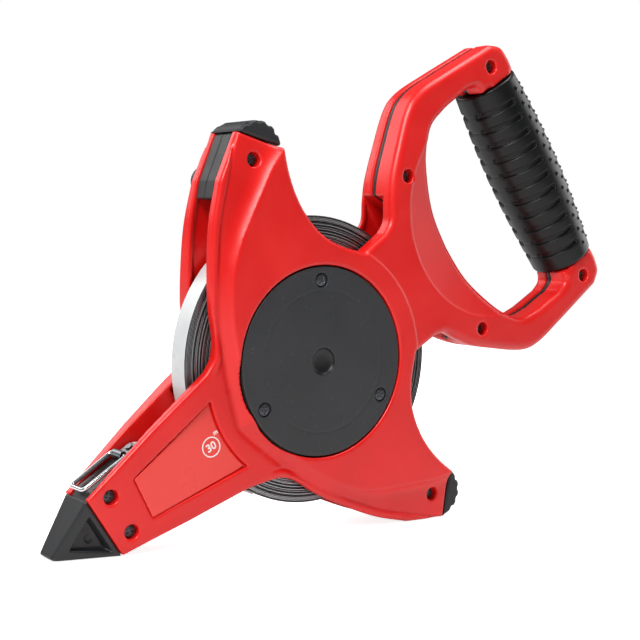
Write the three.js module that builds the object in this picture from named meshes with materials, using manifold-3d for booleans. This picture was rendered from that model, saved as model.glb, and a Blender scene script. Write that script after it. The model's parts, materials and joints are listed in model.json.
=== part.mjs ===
// Surveyor's open-frame tape reel: a steel tape wound on a drum that turns in
// two moulded frame halves, with a D handle, a nose the tape leaves through,
// two rubber feet and a crank on the rear side.  All lengths in millimetres.
//
// Working axes while the parts are made: u runs from the nose to the handle,
// v across it, y through the thickness with the parting plane at y = 0 and the
// front side at negative y.  The last step stands the reel on its nose and its
// lower arm.
import * as THREE from 'three';
import { mergeVertices } from 'three/addons/utils/BufferGeometryUtils.js';
import Module from 'manifold-3d';

const wasm = await Module();
wasm.setup();

// ---- driving dimensions ------------------------------------------------------
const STAND_ANGLE = 34.4;        // slope of the nose-to-handle line, degrees
const HUB_HEIGHT = 86.5;         // hub centre above the floor
const PLACE_X = -28.95;          // puts the middle of the width at x = 0
const PLACE_Y = -39.1;           // puts the middle of the depth at y = 0

const HUB_FACE = 18.5;           // raised hub plate, distance from the parting plane
const BAND_FACE = 14;            // front arm faces, and both faces at the arm tips
const BAND_BACK = 18;            // rear arm faces close to the hub
const GAP = 8.5;                 // half of the slot between the two frame halves
const NOSE_FACE = 11.6;          // frame face where the nose block starts
const HANDLE_ROOT = 17.5;        // handle face where it meets the hub plate
const HANDLE_FACE = 15;          // handle face further out
const HANDLE_BACK = 12;          // rear handle face
const LABEL_FLOOR = 11.5;        // bottom of the label panel
const CORE_HALF = 1.5;           // half thickness of the plate inside the handle
const WALL = 3;                  // moulded wall
const FIT = 0.3;                 // gap between pieces that are screwed together
const RUN = 0.8;                 // gap round the two caps
const JOURNAL_RADIUS = 47.4;     // drum necks that turn in the frame halves

const CAP_RADIUS = 47;
const CAP_THICK = 3.2;
const CAP_SCREW_RADIUS = 40.3;
const CAP_SCREW_ANGLES = [59.06, 179.06, 299.06];
const SEAT_RADIUS = 52.5;        // drum surface the tape is wound on
const COIL_RADIUS = 72;
const COIL_HALF = 6.8;
const ROOM_RADIUS = 93;          // open space between the halves round the coil

const GRIP_U = 177.5;            // grip axis
const GRIP_HALF = 56.7;          // half length of the rubber sleeve
const BAR_RADIUS = 9.5;

const CRANK_RADIUS = 92;
const CRANK_ANGLE = 71.8;
const KNOB_END = 61;

const SCOOP = { u: 135, v: 2, radius: 57.3, slope: 0.2 };   // hollowed lip of the hand opening
const RAIL_V = 23.4;             // height of the end ring over the nose
const RING_BAR_U = -107.5;
const RING_TIP_U = -132.5;
const CURL = { u: -101, v: 12, radius: 9 };   // rounded inner end of the nose block

const SCREWS = [                 // frame screws: u, v
  [21.1, 103.3], [21.1, -103.3], [95.5, 48.1], [95.5, -48.1],
  [174.9, 67.1], [174.9, -67.1], [-125, 14.3], [-125.7, -5.8],
];

// ---- colours -----------------------------------------------------------------
const RED = { color: 0xd8231f, roughness: 0.42, metalness: 0 };
const BLACK = { color: 0x2c2d2f, roughness: 0.6, metalness: 0 };
const RUBBER = { color: 0x1d1e20, roughness: 0.85, metalness: 0 };
const STEEL = { color: 0xb9bcc0, roughness: 0.25, metalness: 1 };
const SCREW_STEEL = { color: 0x2e2f33, roughness: 0.4, metalness: 1 };
const TAPE = { color: 0xd4d6d6, roughness: 0.35, metalness: 0 };
const LABEL = { color: 0xe8433c, roughness: 0.35, metalness: 0 };

// ---- flat shapes -------------------------------------------------------------
const rad = (degrees) => (degrees * Math.PI) / 180;
const floorLine = (u) => (-HUB_HEIGHT - u * Math.sin(rad(STAND_ANGLE))) / Math.cos(rad(STAND_ANGLE));
const mirrored = (points) => points.map(([u, v]) => [u, -v]).reverse();

// A smooth run through the given points, `steps` pieces to each span.
function smooth(points, steps = 3) {
  const curve = new THREE.CatmullRomCurve3(
    points.map(([u, v]) => new THREE.Vector3(u, v, 0)), false, 'centripetal');
  return curve.getPoints((points.length - 1) * steps).map((p) => [p.x, p.y]);
}

function arc(u, v, radius, from, to, steps) {
  return Array.from({ length: steps + 1 }, (_, i) => {
    const angle = rad(from + ((to - from) * i) / steps);
    return [u + radius * Math.cos(angle), v + radius * Math.sin(angle)];
  });
}

// Moves every edge of a closed counter-clockwise outline outwards by `amount`.
function grow(points, amount) {
  return points.map((point, i) => {
    const before = points[(i + points.length - 1) % points.length];
    const after = points[(i + 1) % points.length];
    const [ax, ay] = edgeNormal(before, point);
    const [bx, by] = edgeNormal(point, after);
    const stretch = amount / Math.max(0.35, 1 + ax * bx + ay * by);
    return [point[0] + (ax + bx) * stretch, point[1] + (ay + by) * stretch];
  });
}

function edgeNormal([u0, v0], [u1, v1]) {
  const length = Math.hypot(u1 - u0, v1 - v0);
  return [(v1 - v0) / length, (u0 - u1) / length];
}

// ---- solids ------------------------------------------------------------------
function solid(geometry) {
  const bare = new THREE.BufferGeometry();
  bare.setAttribute('position', geometry.attributes.position);
  if (geometry.index) bare.setIndex(geometry.index);
  const merged = mergeVertices(bare, 1e-4);
  return new wasm.Manifold(new wasm.Mesh({
    numProp: 3,
    vertProperties: new Float32Array(merged.attributes.position.array),
    triVerts: new Uint32Array(merged.index.array),
  }));
}

// Straight-sided block over a flat outline, from y0 to y1.
function prism(points, y0, y1) {
  const shape = new THREE.Shape(points.map(([u, v]) => new THREE.Vector2(u, v)));
  const geometry = new THREE.ExtrudeGeometry(shape, { depth: y1 - y0, bevelEnabled: false });
  geometry.rotateX(Math.PI / 2);
  geometry.translate(0, y1, 0);
  return solid(geometry);
}

// Sloping-sided block: outline `near` at y0 and outline `far` at y1 (y0 < y1).
function taper(near, far, y0, y1) {
  const flat = near.map(([u, v]) => new THREE.Vector2(u, v));
  const faces = THREE.ShapeUtils.triangulateShape(flat, []);
  const count = near.length;
  const positions = [];
  near.forEach(([u, v]) => positions.push(u, y0, v));
  far.forEach(([u, v]) => positions.push(u, y1, v));
  const index = [];
  faces.forEach(([a, b, c]) => {
    index.push(a, b, c);
    index.push(count + a, count + c, count + b);
  });
  for (let i = 0; i < count; i += 1) {
    const j = (i + 1) % count;
    index.push(i, count + i, j, j, count + i, count + j);
  }
  const geometry = new THREE.BufferGeometry();
  geometry.setAttribute('position', new THREE.Float32BufferAttribute(positions, 3));
  geometry.setIndex(index);
  return solid(geometry);
}

function box(u0, u1, y0, y1, v0, v1) {
  const geometry = new THREE.BoxGeometry(u1 - u0, y1 - y0, v1 - v0);
  geometry.translate((u0 + u1) / 2, (y0 + y1) / 2, (v0 + v1) / 2);
  return solid(geometry);
}

function pillar(u, v, radius, y0, y1, sides = 16) {
  const geometry = new THREE.CylinderGeometry(radius, radius, y1 - y0, sides);
  geometry.translate(u, (y0 + y1) / 2, v);
  return solid(geometry);
}

// Turned piece about the y direction through (u, v); profile of [radius, y].
function turned(profile, u = 0, v = 0, sides = 48) {
  const geometry = new THREE.LatheGeometry(
    profile.map(([radius, y]) => new THREE.Vector2(radius, y)), sides);
  geometry.translate(u, 0, v);
  const made = solid(geometry);
  return made.volume() < 0 ? turned([...profile].reverse(), u, v, sides) : made;
}

// Round bar between two points with ball ends.
function rod(from, to, radius, sides = 8) {
  const a = new THREE.Vector3(...from);
  const b = new THREE.Vector3(...to);
  const bar = new THREE.CylinderGeometry(radius, radius, a.distanceTo(b), sides);
  const turn = new THREE.Quaternion().setFromUnitVectors(
    new THREE.Vector3(0, 1, 0), b.clone().sub(a).normalize());
  bar.applyQuaternion(turn);
  bar.translate((a.x + b.x) / 2, (a.y + b.y) / 2, (a.z + b.z) / 2);
  const ball = (p) => {
    const geometry = new THREE.SphereGeometry(radius, sides, 6);
    geometry.translate(p.x, p.y, p.z);
    return solid(geometry);
  };
  return solid(bar).add(ball(a)).add(ball(b));
}

const flipped = (made) => made.mirror([0, 1, 0]);

// ---- outlines of the frame ---------------------------------------------------
// One side of the frame, from the grip round to the waist behind the nose arm.
const handleSide = [
  [189, 57.3], ...smooth([[189.4, 64], [187.6, 72], [181, 77.2]], 2),
  ...smooth([[150, 79.6], [127, 80.6], [117, 78], [97, 62.5], [86, 52.5],
    [79, 43.5], [73, 34.8], [66.5, 31.8]], 2),
];
const innerSweep = smooth([[50.5, 31], [40.3, 41.8], [33.6, 53], [30.6, 67],
  [30.9, 78], [33.2, 89], [37.2, 100]], 2);
const armTip = [[20.8, -floorLine(20.8)]];
const outerSweep = smooth([[0, -floorLine(0)], [-14, 90], [-25.5, 74], [-36.5, 56],
  [-42.4, 43.4], [-48, 36.2], [-55, 32.6]], 2);
const upperSide = [...handleSide, ...innerSweep, ...armTip, ...outerSweep];
const noseEnd = [[-66, 31.2], [-92.8, 27.7], [-135, 20.4], [-135, floorLine(-135) + 0.2],
  [-100, -20.9], [-66, -28.4]];
const outline = [[187.5, 57.3], ...upperSide, ...noseEnd, ...mirrored(upperSide), [187.5, -57.3]];

const openingSide = [
  ...smooth([[102.6, 0], [104, 20], [108.4, 35.6], [115.4, 51.4], [124, 60.6], [137, 63.8]], 2),
  ...smooth([[155, 64.6], [161.5, 62.5], [163.4, 57.3]], 2),
];
const opening = [[168.5, -57.3], [168.5, 57.3], ...[...openingSide].reverse(),
  ...mirrored(openingSide).reverse().slice(1)];

// Edge of the raised hub plate on the nose side, tip of one arm to the other.
const plateSweep = smooth([[37.2, 100], [26, 96], [15, 89.6], [3, 82.5], [-8.5, 75],
  [-20, 64.5], [-30.5, 49], [-38.4, 30.6], [-44.8, 13], [-48.8, 0]], 2);
const plate = [
  ...innerSweep,
  ...plateSweep.slice(1),
  ...mirrored(plateSweep).slice(1),
  ...mirrored(innerSweep).slice(1),
  ...arc(0, 0, 59.2, -31.5, 31.5, 10).slice(1, -1),
];

const label = [[-112, 14.4], [-114.3, -7.2], ...arc(-5, 0, 59, 198.3, 159.8, 6)];

// ---- frame halves ------------------------------------------------------------
// Both halves are made facing the front; the rear one is mirrored at the end.
const FRONT = { band: BAND_FACE, root: HANDLE_ROOT, handle: HANDLE_FACE, post: 12.6, end: 80 };
const REAR = { band: BAND_BACK, root: HANDLE_BACK + 1, handle: HANDLE_BACK, post: 9.5, end: 55 };

function armsAndNose(side) {
  const edge = 2.4;
  const lower = prism(outline, -(side.band - edge), -GAP);
  const upper = taper(grow(outline, -edge), outline, -side.band, -(side.band - edge));
  const nose = sinkingFace(65, 135, side.band, side === FRONT ? NOSE_FACE : NOSE_FACE + 1.4);
  const tip = sinkingFace(58, 100, side.band, BAND_FACE).rotate([0, 90, 0]);
  return lower.add(upper).subtract(nose.mirror([1, 0, 0]))
    .subtract(tip).subtract(tip.mirror([0, 0, 1]))
    .subtract(box(side.end, 220, -40, 0, -120, 120));
}

// Solid above a face that sinks from `near` at u0 to `far` at u1 and goes on.
function sinkingFace(u0, u1, near, far) {
  const run = 1.5;
  const profile = [[u0, -40], [u0, -near], [u0 + run * (u1 - u0), -near + run * (near - far)],
    [u0 + run * (u1 - u0), -40]];
  const shape = new THREE.Shape(profile.map(([u, y]) => new THREE.Vector2(u, y)));
  const geometry = new THREE.ExtrudeGeometry(shape, { depth: 200, bevelEnabled: false });
  geometry.translate(0, 0, -100);
  return solid(geometry);
}

function handle(side) {
  const edge = 4;
  const profile = [[48, -side.root], [66, -side.root], [112, -side.handle],
    [220, -side.handle], [220, -(CORE_HALF + FIT)], [48, -(CORE_HALF + FIT)]];
  const shape = new THREE.Shape(profile.map(([u, y]) => new THREE.Vector2(u, y)));
  const slab = new THREE.ExtrudeGeometry(shape, { depth: 240, bevelEnabled: false });
  slab.translate(0, 0, -120);
  const full = prism(outline, -(side.handle - edge), 0);
  const sloped = taper(grow(outline, -edge), outline, -side.root - 1.2, -(side.handle - edge));
  const coilRoom = pillar(0, 0, ROOM_RADIUS, -GAP, 1, 48);
  const gripRoom = box(150, 210, -40, 1, -57.3, 57.3);
  return full.add(sloped).intersect(solid(slab)).subtract(scoop(side)).subtract(coilRoom)
    .subtract(gripRoom).add(barHalf());
}

// Shallow cone that hollows the lip on the hub side of the hand opening.
function scoop(side) {
  const drop = SCOOP.slope * 24;
  const cone = turned([[0, -40], [SCOOP.radius, -40], [SCOOP.radius, -side.root],
    [SCOOP.radius - 24, -side.root + drop], [0, -side.root + drop]], SCOOP.u, SCOOP.v, 64);
  return cone.intersect(box(60, 118, -45, 0, -70, 70));
}

// Half-round bar that the rubber sleeve sits on.
function barHalf() {
  const geometry = new THREE.CylinderGeometry(BAR_RADIUS, BAR_RADIUS, 118, 32);
  geometry.rotateX(Math.PI / 2);
  geometry.translate(GRIP_U, 0, 0);
  return solid(geometry).intersect(box(150, 210, -40, -(CORE_HALF + FIT), -60, 60));
}

function hubPlate() {
  const foot = grow(plate, 8);
  return taper(plate, foot, -HUB_FACE, -BAND_FACE + 1.5).intersect(prism(outline, -40, 0));
}

// Hollows on the inner side, leaving walls, the bearing ring and screw posts.
function hollows(side) {
  const inner = grow(outline, -WALL);
  const bearing = pillar(0, 0, 51.5, -40, 10, 48);
  const band = prism(inner, -(BAND_FACE - WALL), 1)
    .intersect(box(-66, side.end - 2, -40, 10, -130, 130));
  const hub = prism(plate, -(HUB_FACE - WALL), 1).intersect(prism(inner, -40, 1));
  const handleRoom = prism(inner, -(side.handle - WALL), 1)
    .subtract(pillar(0, 0, ROOM_RADIUS + 3, -40, 10, 48))
    .subtract(box(150, 210, -40, 10, -60.5, 60.5))
    .intersect(box(60, 210, -40, 10, -120, 120));
  const openingWall = prism(grow(opening, WALL), -40, 10);
  return band.add(hub).subtract(bearing).add(handleRoom).subtract(openingWall);
}

function frameHalf(side) {
  let body = armsAndNose(side).add(handle(side)).add(hubPlate()).subtract(hollows(side));
  SCREWS.forEach(([u, v]) => {
    body = body.add(pillar(u, v, 5.4, u > 60 ? -side.post : -11, -FIT));
  });
  body = body.subtract(openingCut()).subtract(pillar(0, 0, CAP_RADIUS + RUN, -40, 10, 60));
  body = body.subtract(prism(label, -40, -LABEL_FLOOR));
  SCREWS.forEach(([u, v]) => {
    body = side === FRONT
      ? body.subtract(pillar(u, v, 3.9, -40, headFace(u) + 2)).subtract(pillar(u, v, 1.95, -12, 2))
      : body.subtract(pillar(u, v, 1.95, u > 60 ? -8.5 : -10.5, 2));
  });
  return body;
}

// The screws sit deeper in the arms than in the handle.
const headFace = (u) => (u > 60 ? -11.7 : -9.2);

function openingCut() {
  const bar = box(GRIP_U - BAR_RADIUS, 210, -40, 10, -57.3, 57.3);
  return prism(opening, -40, 10).subtract(bar);
}

// ---- pieces between the halves -----------------------------------------------
function handleCore() {
  const rim = prism(grow(outline, -0.7), -CORE_HALF, CORE_HALF)
    .intersect(box(62, 210, -5, 5, -120, 120))
    .subtract(pillar(0, 0, ROOM_RADIUS + 0.4, -5, 5, 48))
    .subtract(prism(grow(opening, 0.7), -5, 5).subtract(
      box(GRIP_U - BAR_RADIUS, 210, -5, 5, -58.2, 58.2)))
    .subtract(box(GRIP_U + BAR_RADIUS - 0.2, 210, -5, 5, -57.9, 57.9))
    .subtract(box(150, GRIP_U - BAR_RADIUS + 0.2, -5, 5, -57.9, 57.9));
  return SCREWS.filter(([u]) => u > 60).reduce(
    (made, [u, v]) => made.subtract(pillar(u, v, 5.9, -5, 5)), rim);
}

function gripSleeve() {
  const profile = [[BAR_RADIUS + 0.4, -GRIP_HALF], [16.4, -GRIP_HALF], [17.2, -55.6]];
  for (let z = -36; z <= 36; z += 18) profile.push([gripRadius(z), z]);
  profile.push([17.2, 55.6], [16.4, GRIP_HALF], [BAR_RADIUS + 0.4, GRIP_HALF]);
  profile.push([BAR_RADIUS + 0.4, -GRIP_HALF]);
  const sleeve = turned(profile, 0, 0, 28);
  return gripSlots(sleeve).rotate([90, 0, 0]).translate([GRIP_U, 0, 0]);
}

const gripRadius = (z) => 17.2 + 2.6 * Math.cos((Math.PI * z) / 2 / 56);

// Shallow finger slots across the palm side, left open at the back.
function gripSlots(sleeve) {
  let cut = sleeve;
  for (let i = 0; i < 11; i += 1) {
    const z = -45 + i * 9;
    const depth = gripRadius(z) - 1.3;
    const ring = turned([[depth, z - 1.3], [26, z - 1.3], [26, z + 1.3], [depth, z + 1.3],
      [depth, z - 1.3]], 0, 0, 20);
    const hand = new THREE.BoxGeometry(60, 20, 60);
    hand.translate(-34, z, 0);
    cut = cut.subtract(ring.intersect(solid(hand)));
  }
  return cut;
}

function noseBlock() {
  const side = [[-135.3, 20.4], ...smooth([[-158.5, 9.2], [-161.8, 7.2], [-161, 5.7],
    [-158.2, floorLine(-158.2)]], 2), [-135.3, floorLine(-135.3)]];
  const halfDepth = (u) => 7 + ((NOSE_FACE - 0.1 - 7) * (u + 162)) / 27;
  const cover = [[-170, -halfDepth(-170)], [-135.3, -halfDepth(-135.3)],
    [-135.3, halfDepth(-135.3)], [-170, halfDepth(-170)]];
  const shape = new THREE.Shape(cover.map(([u, y]) => new THREE.Vector2(u, y)));
  const sides = new THREE.ExtrudeGeometry(shape, { depth: 80, bevelEnabled: false });
  sides.translate(0, 0, -40);
  const pocket = [[-138.6, 12.6], [-153.4, 5.8], [-138.6, -6.2]];
  const wedge = prism(side, -20, 20).intersect(solid(sides))
    .subtract(prism(pocket, -20, -6.4)).subtract(prism(pocket, 6.4, 20));
  const tongue = [[-136, 18.4], [-130, CURL.v + CURL.radius],
    ...arc(CURL.u, CURL.v, CURL.radius, 90, -28, 8),
    ...smooth([[-96.5, -4], [-101, -13], [-108, -18]], 2), [-136, -11.6]];
  const body = wedge.add(prism(tongue, -(GAP - FIT), GAP - FIT));
  return body.subtract(pillar(-125, 14.3, 5.7, -9, 9)).subtract(pillar(-125.7, -5.8, 5.7, -9, 9));
}

// Rubber foot on an arm tip: a scalloped cap over the end and a block in the slot.
function bumper() {
  const cap = [[37.4, 100.9], ...arc(26.6, 106.4, 12.2, -10, 103, 12), [20.9, 119.2]];
  let cover = prism(cap, -(BAND_FACE - 0.4), BAND_FACE - 0.4);
  [4, 30, 56, 82].forEach((angle) => {
    const u = 26.6 + 12.9 * Math.cos(rad(angle));
    const v = 106.4 + 12.9 * Math.sin(rad(angle));
    cover = cover.subtract(pillar(u, v, 1.5, -20, 20, 10));
  });
  const frameRoom = grow([[37.2, 100], [20.8, 118.9], [0, 104.8], [0, 60], [37, 60]], 0.35);
  cover = cover.subtract(prism(frameRoom, -20, 20));
  const block = [[33.6, 101.5], [24.2, 114.6], [21.4, 117.9], [20, 117.8], [1, 104.4], [-5, 98.2],
    [4, 90.6], [20, 92.5], [33, 92.5]];
  const joined = [[35, 101], [29, 103], [18, 113], [24.2, 117.4], [34, 108]];
  return cover.add(prism(block, -(GAP - FIT), GAP - FIT))
    .add(prism(joined, -(GAP - FIT), GAP - FIT))
    .subtract(pillar(21.1, 103.3, 5.9, -20, 20));
}

// ---- turning drum ------------------------------------------------------------
function drum() {
  const end = HUB_FACE - 0.5 - CAP_THICK - FIT;
  const rim = turned([[42.5, -end], [JOURNAL_RADIUS, -end], [JOURNAL_RADIUS, -GAP + 0.9],
    [SEAT_RADIUS, -GAP + 0.9], [SEAT_RADIUS, GAP - 0.9], [JOURNAL_RADIUS, GAP - 0.9],
    [JOURNAL_RADIUS, end], [42.5, end], [42.5, 2], [9, 2], [9, end], [2.4, end], [2.4, -2],
    [42.5, -2], [42.5, -end]], 0, 0, 40);
  let made = rim;
  CAP_SCREW_ANGLES.forEach((angle) => {
    const u = CAP_SCREW_RADIUS * Math.cos(rad(angle));
    const v = CAP_SCREW_RADIUS * Math.sin(rad(angle));
    made = made.add(pillar(u, v, 4.4, -end, end, 12));
    made = made.subtract(pillar(u, v, 1.7, -end - 1, -4, 8)).subtract(pillar(u, v, 1.7, 4, end + 1, 8));
  });
  return made;
}

function capDisc() {
  const outer = -(HUB_FACE - 0.5);
  const disc = turned([[0, outer], [CAP_RADIUS - 0.6, outer], [CAP_RADIUS, outer + 0.6],
    [CAP_RADIUS, outer + CAP_THICK], [0, outer + CAP_THICK]], 0, 0, 40);
  return CAP_SCREW_ANGLES.reduce((made, angle) => {
    const u = CAP_SCREW_RADIUS * Math.cos(rad(angle));
    const v = CAP_SCREW_RADIUS * Math.sin(rad(angle));
    return made.subtract(pillar(u, v, 3.6, outer - 1, outer + 1.5, 20))
      .subtract(pillar(u, v, 1.7, outer - 1, 0, 12));
  }, disc);
}

function frontCap() {
  const outer = -(HUB_FACE - 0.5);
  const dimple = turned([[0, outer - 2], [5.6, outer - 2], [5.6, outer], [4.2, outer + 1.1],
    [2.2, outer + 1.8], [0, outer + 2]], 0, 0, 20);
  return capDisc().subtract(dimple);
}

function rearCap() {
  const socket = box(-7.4, 7.4, 10, 30, -7.4, 7.4).rotate([0, 90 - CRANK_ANGLE, 0]);
  return flipped(capDisc()).subtract(socket);
}

// Screw with its head at the front and its shaft towards +y.
function screw(u, v, head, y, shaft, length) {
  return turned([[0, y], [head * 0.8, y], [head, y + 0.5], [head, y + 1.9],
    [shaft, y + 1.9], [shaft, y + length], [0, y + length]], u, v, 12)
    .subtract(pillar(u, v, 1.5, y - 1, y + 1.1, 6));
}

function capScrew(angle, isFront) {
  const u = CAP_SCREW_RADIUS * Math.cos(rad(angle));
  const v = CAP_SCREW_RADIUS * Math.sin(rad(angle));
  const made = turned([[0, -17.8], [2.6, -17.8], [3.1, -17.3], [3.1, -16.8], [1.35, -16.8],
    [1.35, -6], [0, -5]], u, v, 12);
  const slot = made.subtract(box(u - 1.8, u + 1.8, -20, -17.2, v - 0.4, v + 0.4))
    .subtract(box(u - 0.4, u + 0.4, -20, -17.2, v - 1.8, v + 1.8));
  return isFront ? slot : flipped(slot);
}

// ---- tape --------------------------------------------------------------------
function tapeCoil() {
  const inner = SEAT_RADIUS + 0.4;
  const sides = [[inner, 0]];
  const packs = 3;
  for (let i = 0; i < packs; i += 1) {
    const wide = i % 2 ? COIL_HALF - 0.5 : COIL_HALF - 0.1;
    const from = inner + ((COIL_RADIUS - inner) * i) / packs;
    const to = inner + ((COIL_RADIUS - inner) * (i + 1)) / packs;
    sides.push([from + 0.1, wide], [to - 0.1, wide]);
  }
  const half = sides.slice(1);
  const profile = [...half.map(([r, y]) => [r, -y]), ...[...half].reverse()];
  return turned([...profile, profile[0]], 0, 0, 48);
}

// The tape leaves the coil on its lower side and rides over the curled end of
// the nose block to the outlet on top.
function tapeLead() {
  const thick = 0.5;
  const inside = CURL.radius + 0.35;
  const off = COIL_RADIUS + 0.4 + thick / 2;
  const on = inside + thick / 2;
  const centre = Math.hypot(CURL.u, CURL.v);
  const lean = Math.atan2(CURL.v, CURL.u) - Math.acos(-(off + on) / centre);
  const start = [-off * Math.cos(lean), -off * Math.sin(lean)];
  const bend = arc(CURL.u, CURL.v, on, (lean * 180) / Math.PI, 90, 8);
  const path = [start, ...bend, [RING_BAR_U + 2.6, CURL.v + on]];
  return ribbon(path, thick, 6.5).subtract(rivetHole());
}

// Constant-thickness strip along a path of [u, v] points.
function ribbon(path, thick, half) {
  const side = (sign) => path.map((point, i) => {
    const a = path[Math.max(0, i - 1)];
    const b = path[Math.min(path.length - 1, i + 1)];
    const [nu, nv] = edgeNormal(a, b);
    return [point[0] + (nu * sign * thick) / 2, point[1] + (nv * sign * thick) / 2];
  });
  return prism([...side(1), ...side(-1).reverse()], -half, half);
}

const TAPE_TOP = CURL.v + CURL.radius + 0.85;

function rivetHole() {
  const geometry = new THREE.CylinderGeometry(1.3, 1.3, 20, 12);
  geometry.rotateX(Math.PI / 2);
  geometry.translate(-101.6, 0, TAPE_TOP);
  return solid(geometry);
}

function endClip() {
  const sleeve = pillar(RING_BAR_U, RAIL_V + 0.1, 2.1, -4.4, 4.4, 20);
  const plateTop = TAPE_TOP + 0.3;
  const tail = box(RING_BAR_U, -98.6, -4.4, 4.4, plateTop, plateTop + 0.8);
  return sleeve.add(tail).subtract(pillar(RING_BAR_U, RAIL_V + 0.1, 1.45, -9, 9, 20))
    .subtract(rivetHole());
}

function clipRivet() {
  const top = TAPE_TOP + 1.4;
  const made = turned([[0, top + 0.7], [1.3, top + 0.6], [2, top], [1, top], [1, TAPE_TOP - 0.4],
    [0, TAPE_TOP - 0.4]], 0, 0, 14);
  return made.rotate([90, 0, 0]).translate([-101.6, 0, 0]);
}

function endRing() {
  const v = RAIL_V + 0.1;
  const corners = [[RING_BAR_U, -7.4, v], [RING_BAR_U, 7.4, v], [RING_TIP_U, 6.6, v],
    [RING_TIP_U, -6.6, v]];
  return corners.map((corner, i) => rod(corner, corners[(i + 1) % 4], 1.1))
    .reduce((all, one) => all.add(one));
}

// ---- crank -------------------------------------------------------------------
const knobAt = [CRANK_RADIUS * Math.cos(rad(CRANK_ANGLE)), CRANK_RADIUS * Math.sin(rad(CRANK_ANGLE))];

function crankArm() {
  const bar = [...arc(0, 0, 15, 75, 285, 14), ...arc(CRANK_RADIUS, 0, 9, -80, 80, 10)];
  const plan = bar.map(([u, v]) => {
    const turn = rad(CRANK_ANGLE);
    return [u * Math.cos(turn) - v * Math.sin(turn), u * Math.sin(turn) + v * Math.cos(turn)];
  });
  const peg = box(-7, 7, 15.1, 20.5, -7, 7).rotate([0, 90 - CRANK_ANGLE, 0]);
  return taper(plan, grow(plan, -1), 20, 26).add(peg)
    .subtract(pillar(0, 0, 2.4, 10, 30, 20)).subtract(pillar(0, 0, 5.4, 23, 30, 24))
    .subtract(pillar(...knobAt, 2.9, 10, 30, 20)).subtract(pillar(...knobAt, 4.5, 19, 21.8, 20));
}

function crankScrew() {
  return turned([[0, 4], [2, 5], [2, 23.3], [4.8, 23.3], [4.8, 24.6], [3.4, 25.8], [0, 26.2]], 0, 0, 20);
}

function knobPin() {
  return turned([[0, 20.2], [4.1, 20.2], [4.1, 21.4], [2.5, 21.4], [2.5, KNOB_END - 3],
    [4.6, KNOB_END - 3], [4.6, KNOB_END - 1.4], [3.4, KNOB_END - 0.6], [0, KNOB_END - 0.6]],
  ...knobAt, 16);
}

function crankKnob() {
  const end = KNOB_END;
  return turned([[2.9, 26.5], [7.2, 26.5], [8, 27.3], [8.4, 34], [9.4, 46], [9.2, 54], [8.2, end - 1.5],
    [7, end], [5.2, end], [5.2, end - 3.4], [2.9, end - 3.4], [2.9, 26.5]], ...knobAt, 20);
}

// ---- assembly ----------------------------------------------------------------
const group = new THREE.Group();
group.name = 'surveyor_tape_reel';

// Stands the reel up: u and v become the sloping and the upright direction.
const stand = new THREE.Matrix4().makeTranslation(PLACE_X, PLACE_Y + HUB_FACE, HUB_HEIGHT)
  .multiply(new THREE.Matrix4().makeRotationY(-rad(STAND_ANGLE)));

function place(name, made, look) {
  const mesh = made.simplify(0.1).getMesh();
  const geometry = new THREE.BufferGeometry();
  geometry.setAttribute('position', new THREE.Float32BufferAttribute(mesh.vertProperties, 3));
  geometry.setIndex(new THREE.Uint32BufferAttribute(mesh.triVerts, 1));
  geometry.applyMatrix4(stand);
  geometry.computeVertexNormals();
  const node = new THREE.Mesh(geometry, new THREE.MeshStandardMaterial(look));
  node.name = name;
  group.add(node);
}

place('front_frame', frameHalf(FRONT), RED);
place('rear_frame', flipped(frameHalf(REAR)), RED);
place('handle_core', handleCore(), BLACK);
place('grip_sleeve', gripSleeve(), RUBBER);
place('nose_block', noseBlock(), BLACK);
place('top_bumper', bumper(), RUBBER);
place('lower_bumper', bumper().mirror([0, 0, 1]), RUBBER);
const plateBody = prism(grow(label, -0.35), -LABEL_FLOOR - 1, -LABEL_FLOOR - 0.3);
place('front_label', plateBody, LABEL);
place('rear_label', flipped(plateBody), LABEL);
SCREWS.forEach(([u, v], i) => place(`frame_screw_${i + 1}`, 
  screw(u, v, 3.3, headFace(u), 1.6, u > 60 ? 19 : 18.4), SCREW_STEEL));
place('drum', drum(), BLACK);
place('front_cap', frontCap(), BLACK);
place('rear_cap', rearCap(), BLACK);
CAP_SCREW_ANGLES.forEach((angle, i) => {
  place(`front_cap_screw_${i + 1}`, capScrew(angle, true), SCREW_STEEL);
  place(`rear_cap_screw_${i + 1}`, capScrew(angle, false), SCREW_STEEL);
});
place('tape_coil', tapeCoil(), TAPE);
place('tape_lead', tapeLead(), TAPE);
place('end_clip', endClip(), STEEL);
place('clip_rivet', clipRivet(), STEEL);
place('end_ring', endRing(), STEEL);
place('crank_arm', crankArm(), BLACK);
place('crank_screw', crankScrew(), SCREW_STEEL);
place('knob_pin', knobPin(), STEEL);
place('crank_knob', crankKnob(), BLACK);

export default group;
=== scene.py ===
"""Surveyor tape reel: shapes and looks of every piece, placed on its moving bodies.

Shape axes, in millimetres: u runs from the nose to the handle, v across it and
h away from the parting plane, positive on the front side.  Every moulded piece
is a distance field sampled on a grid, so that its edges come out rounded.
"""

import json
import math

import bpy
import numpy as np
from mathutils import Matrix, Vector


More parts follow.
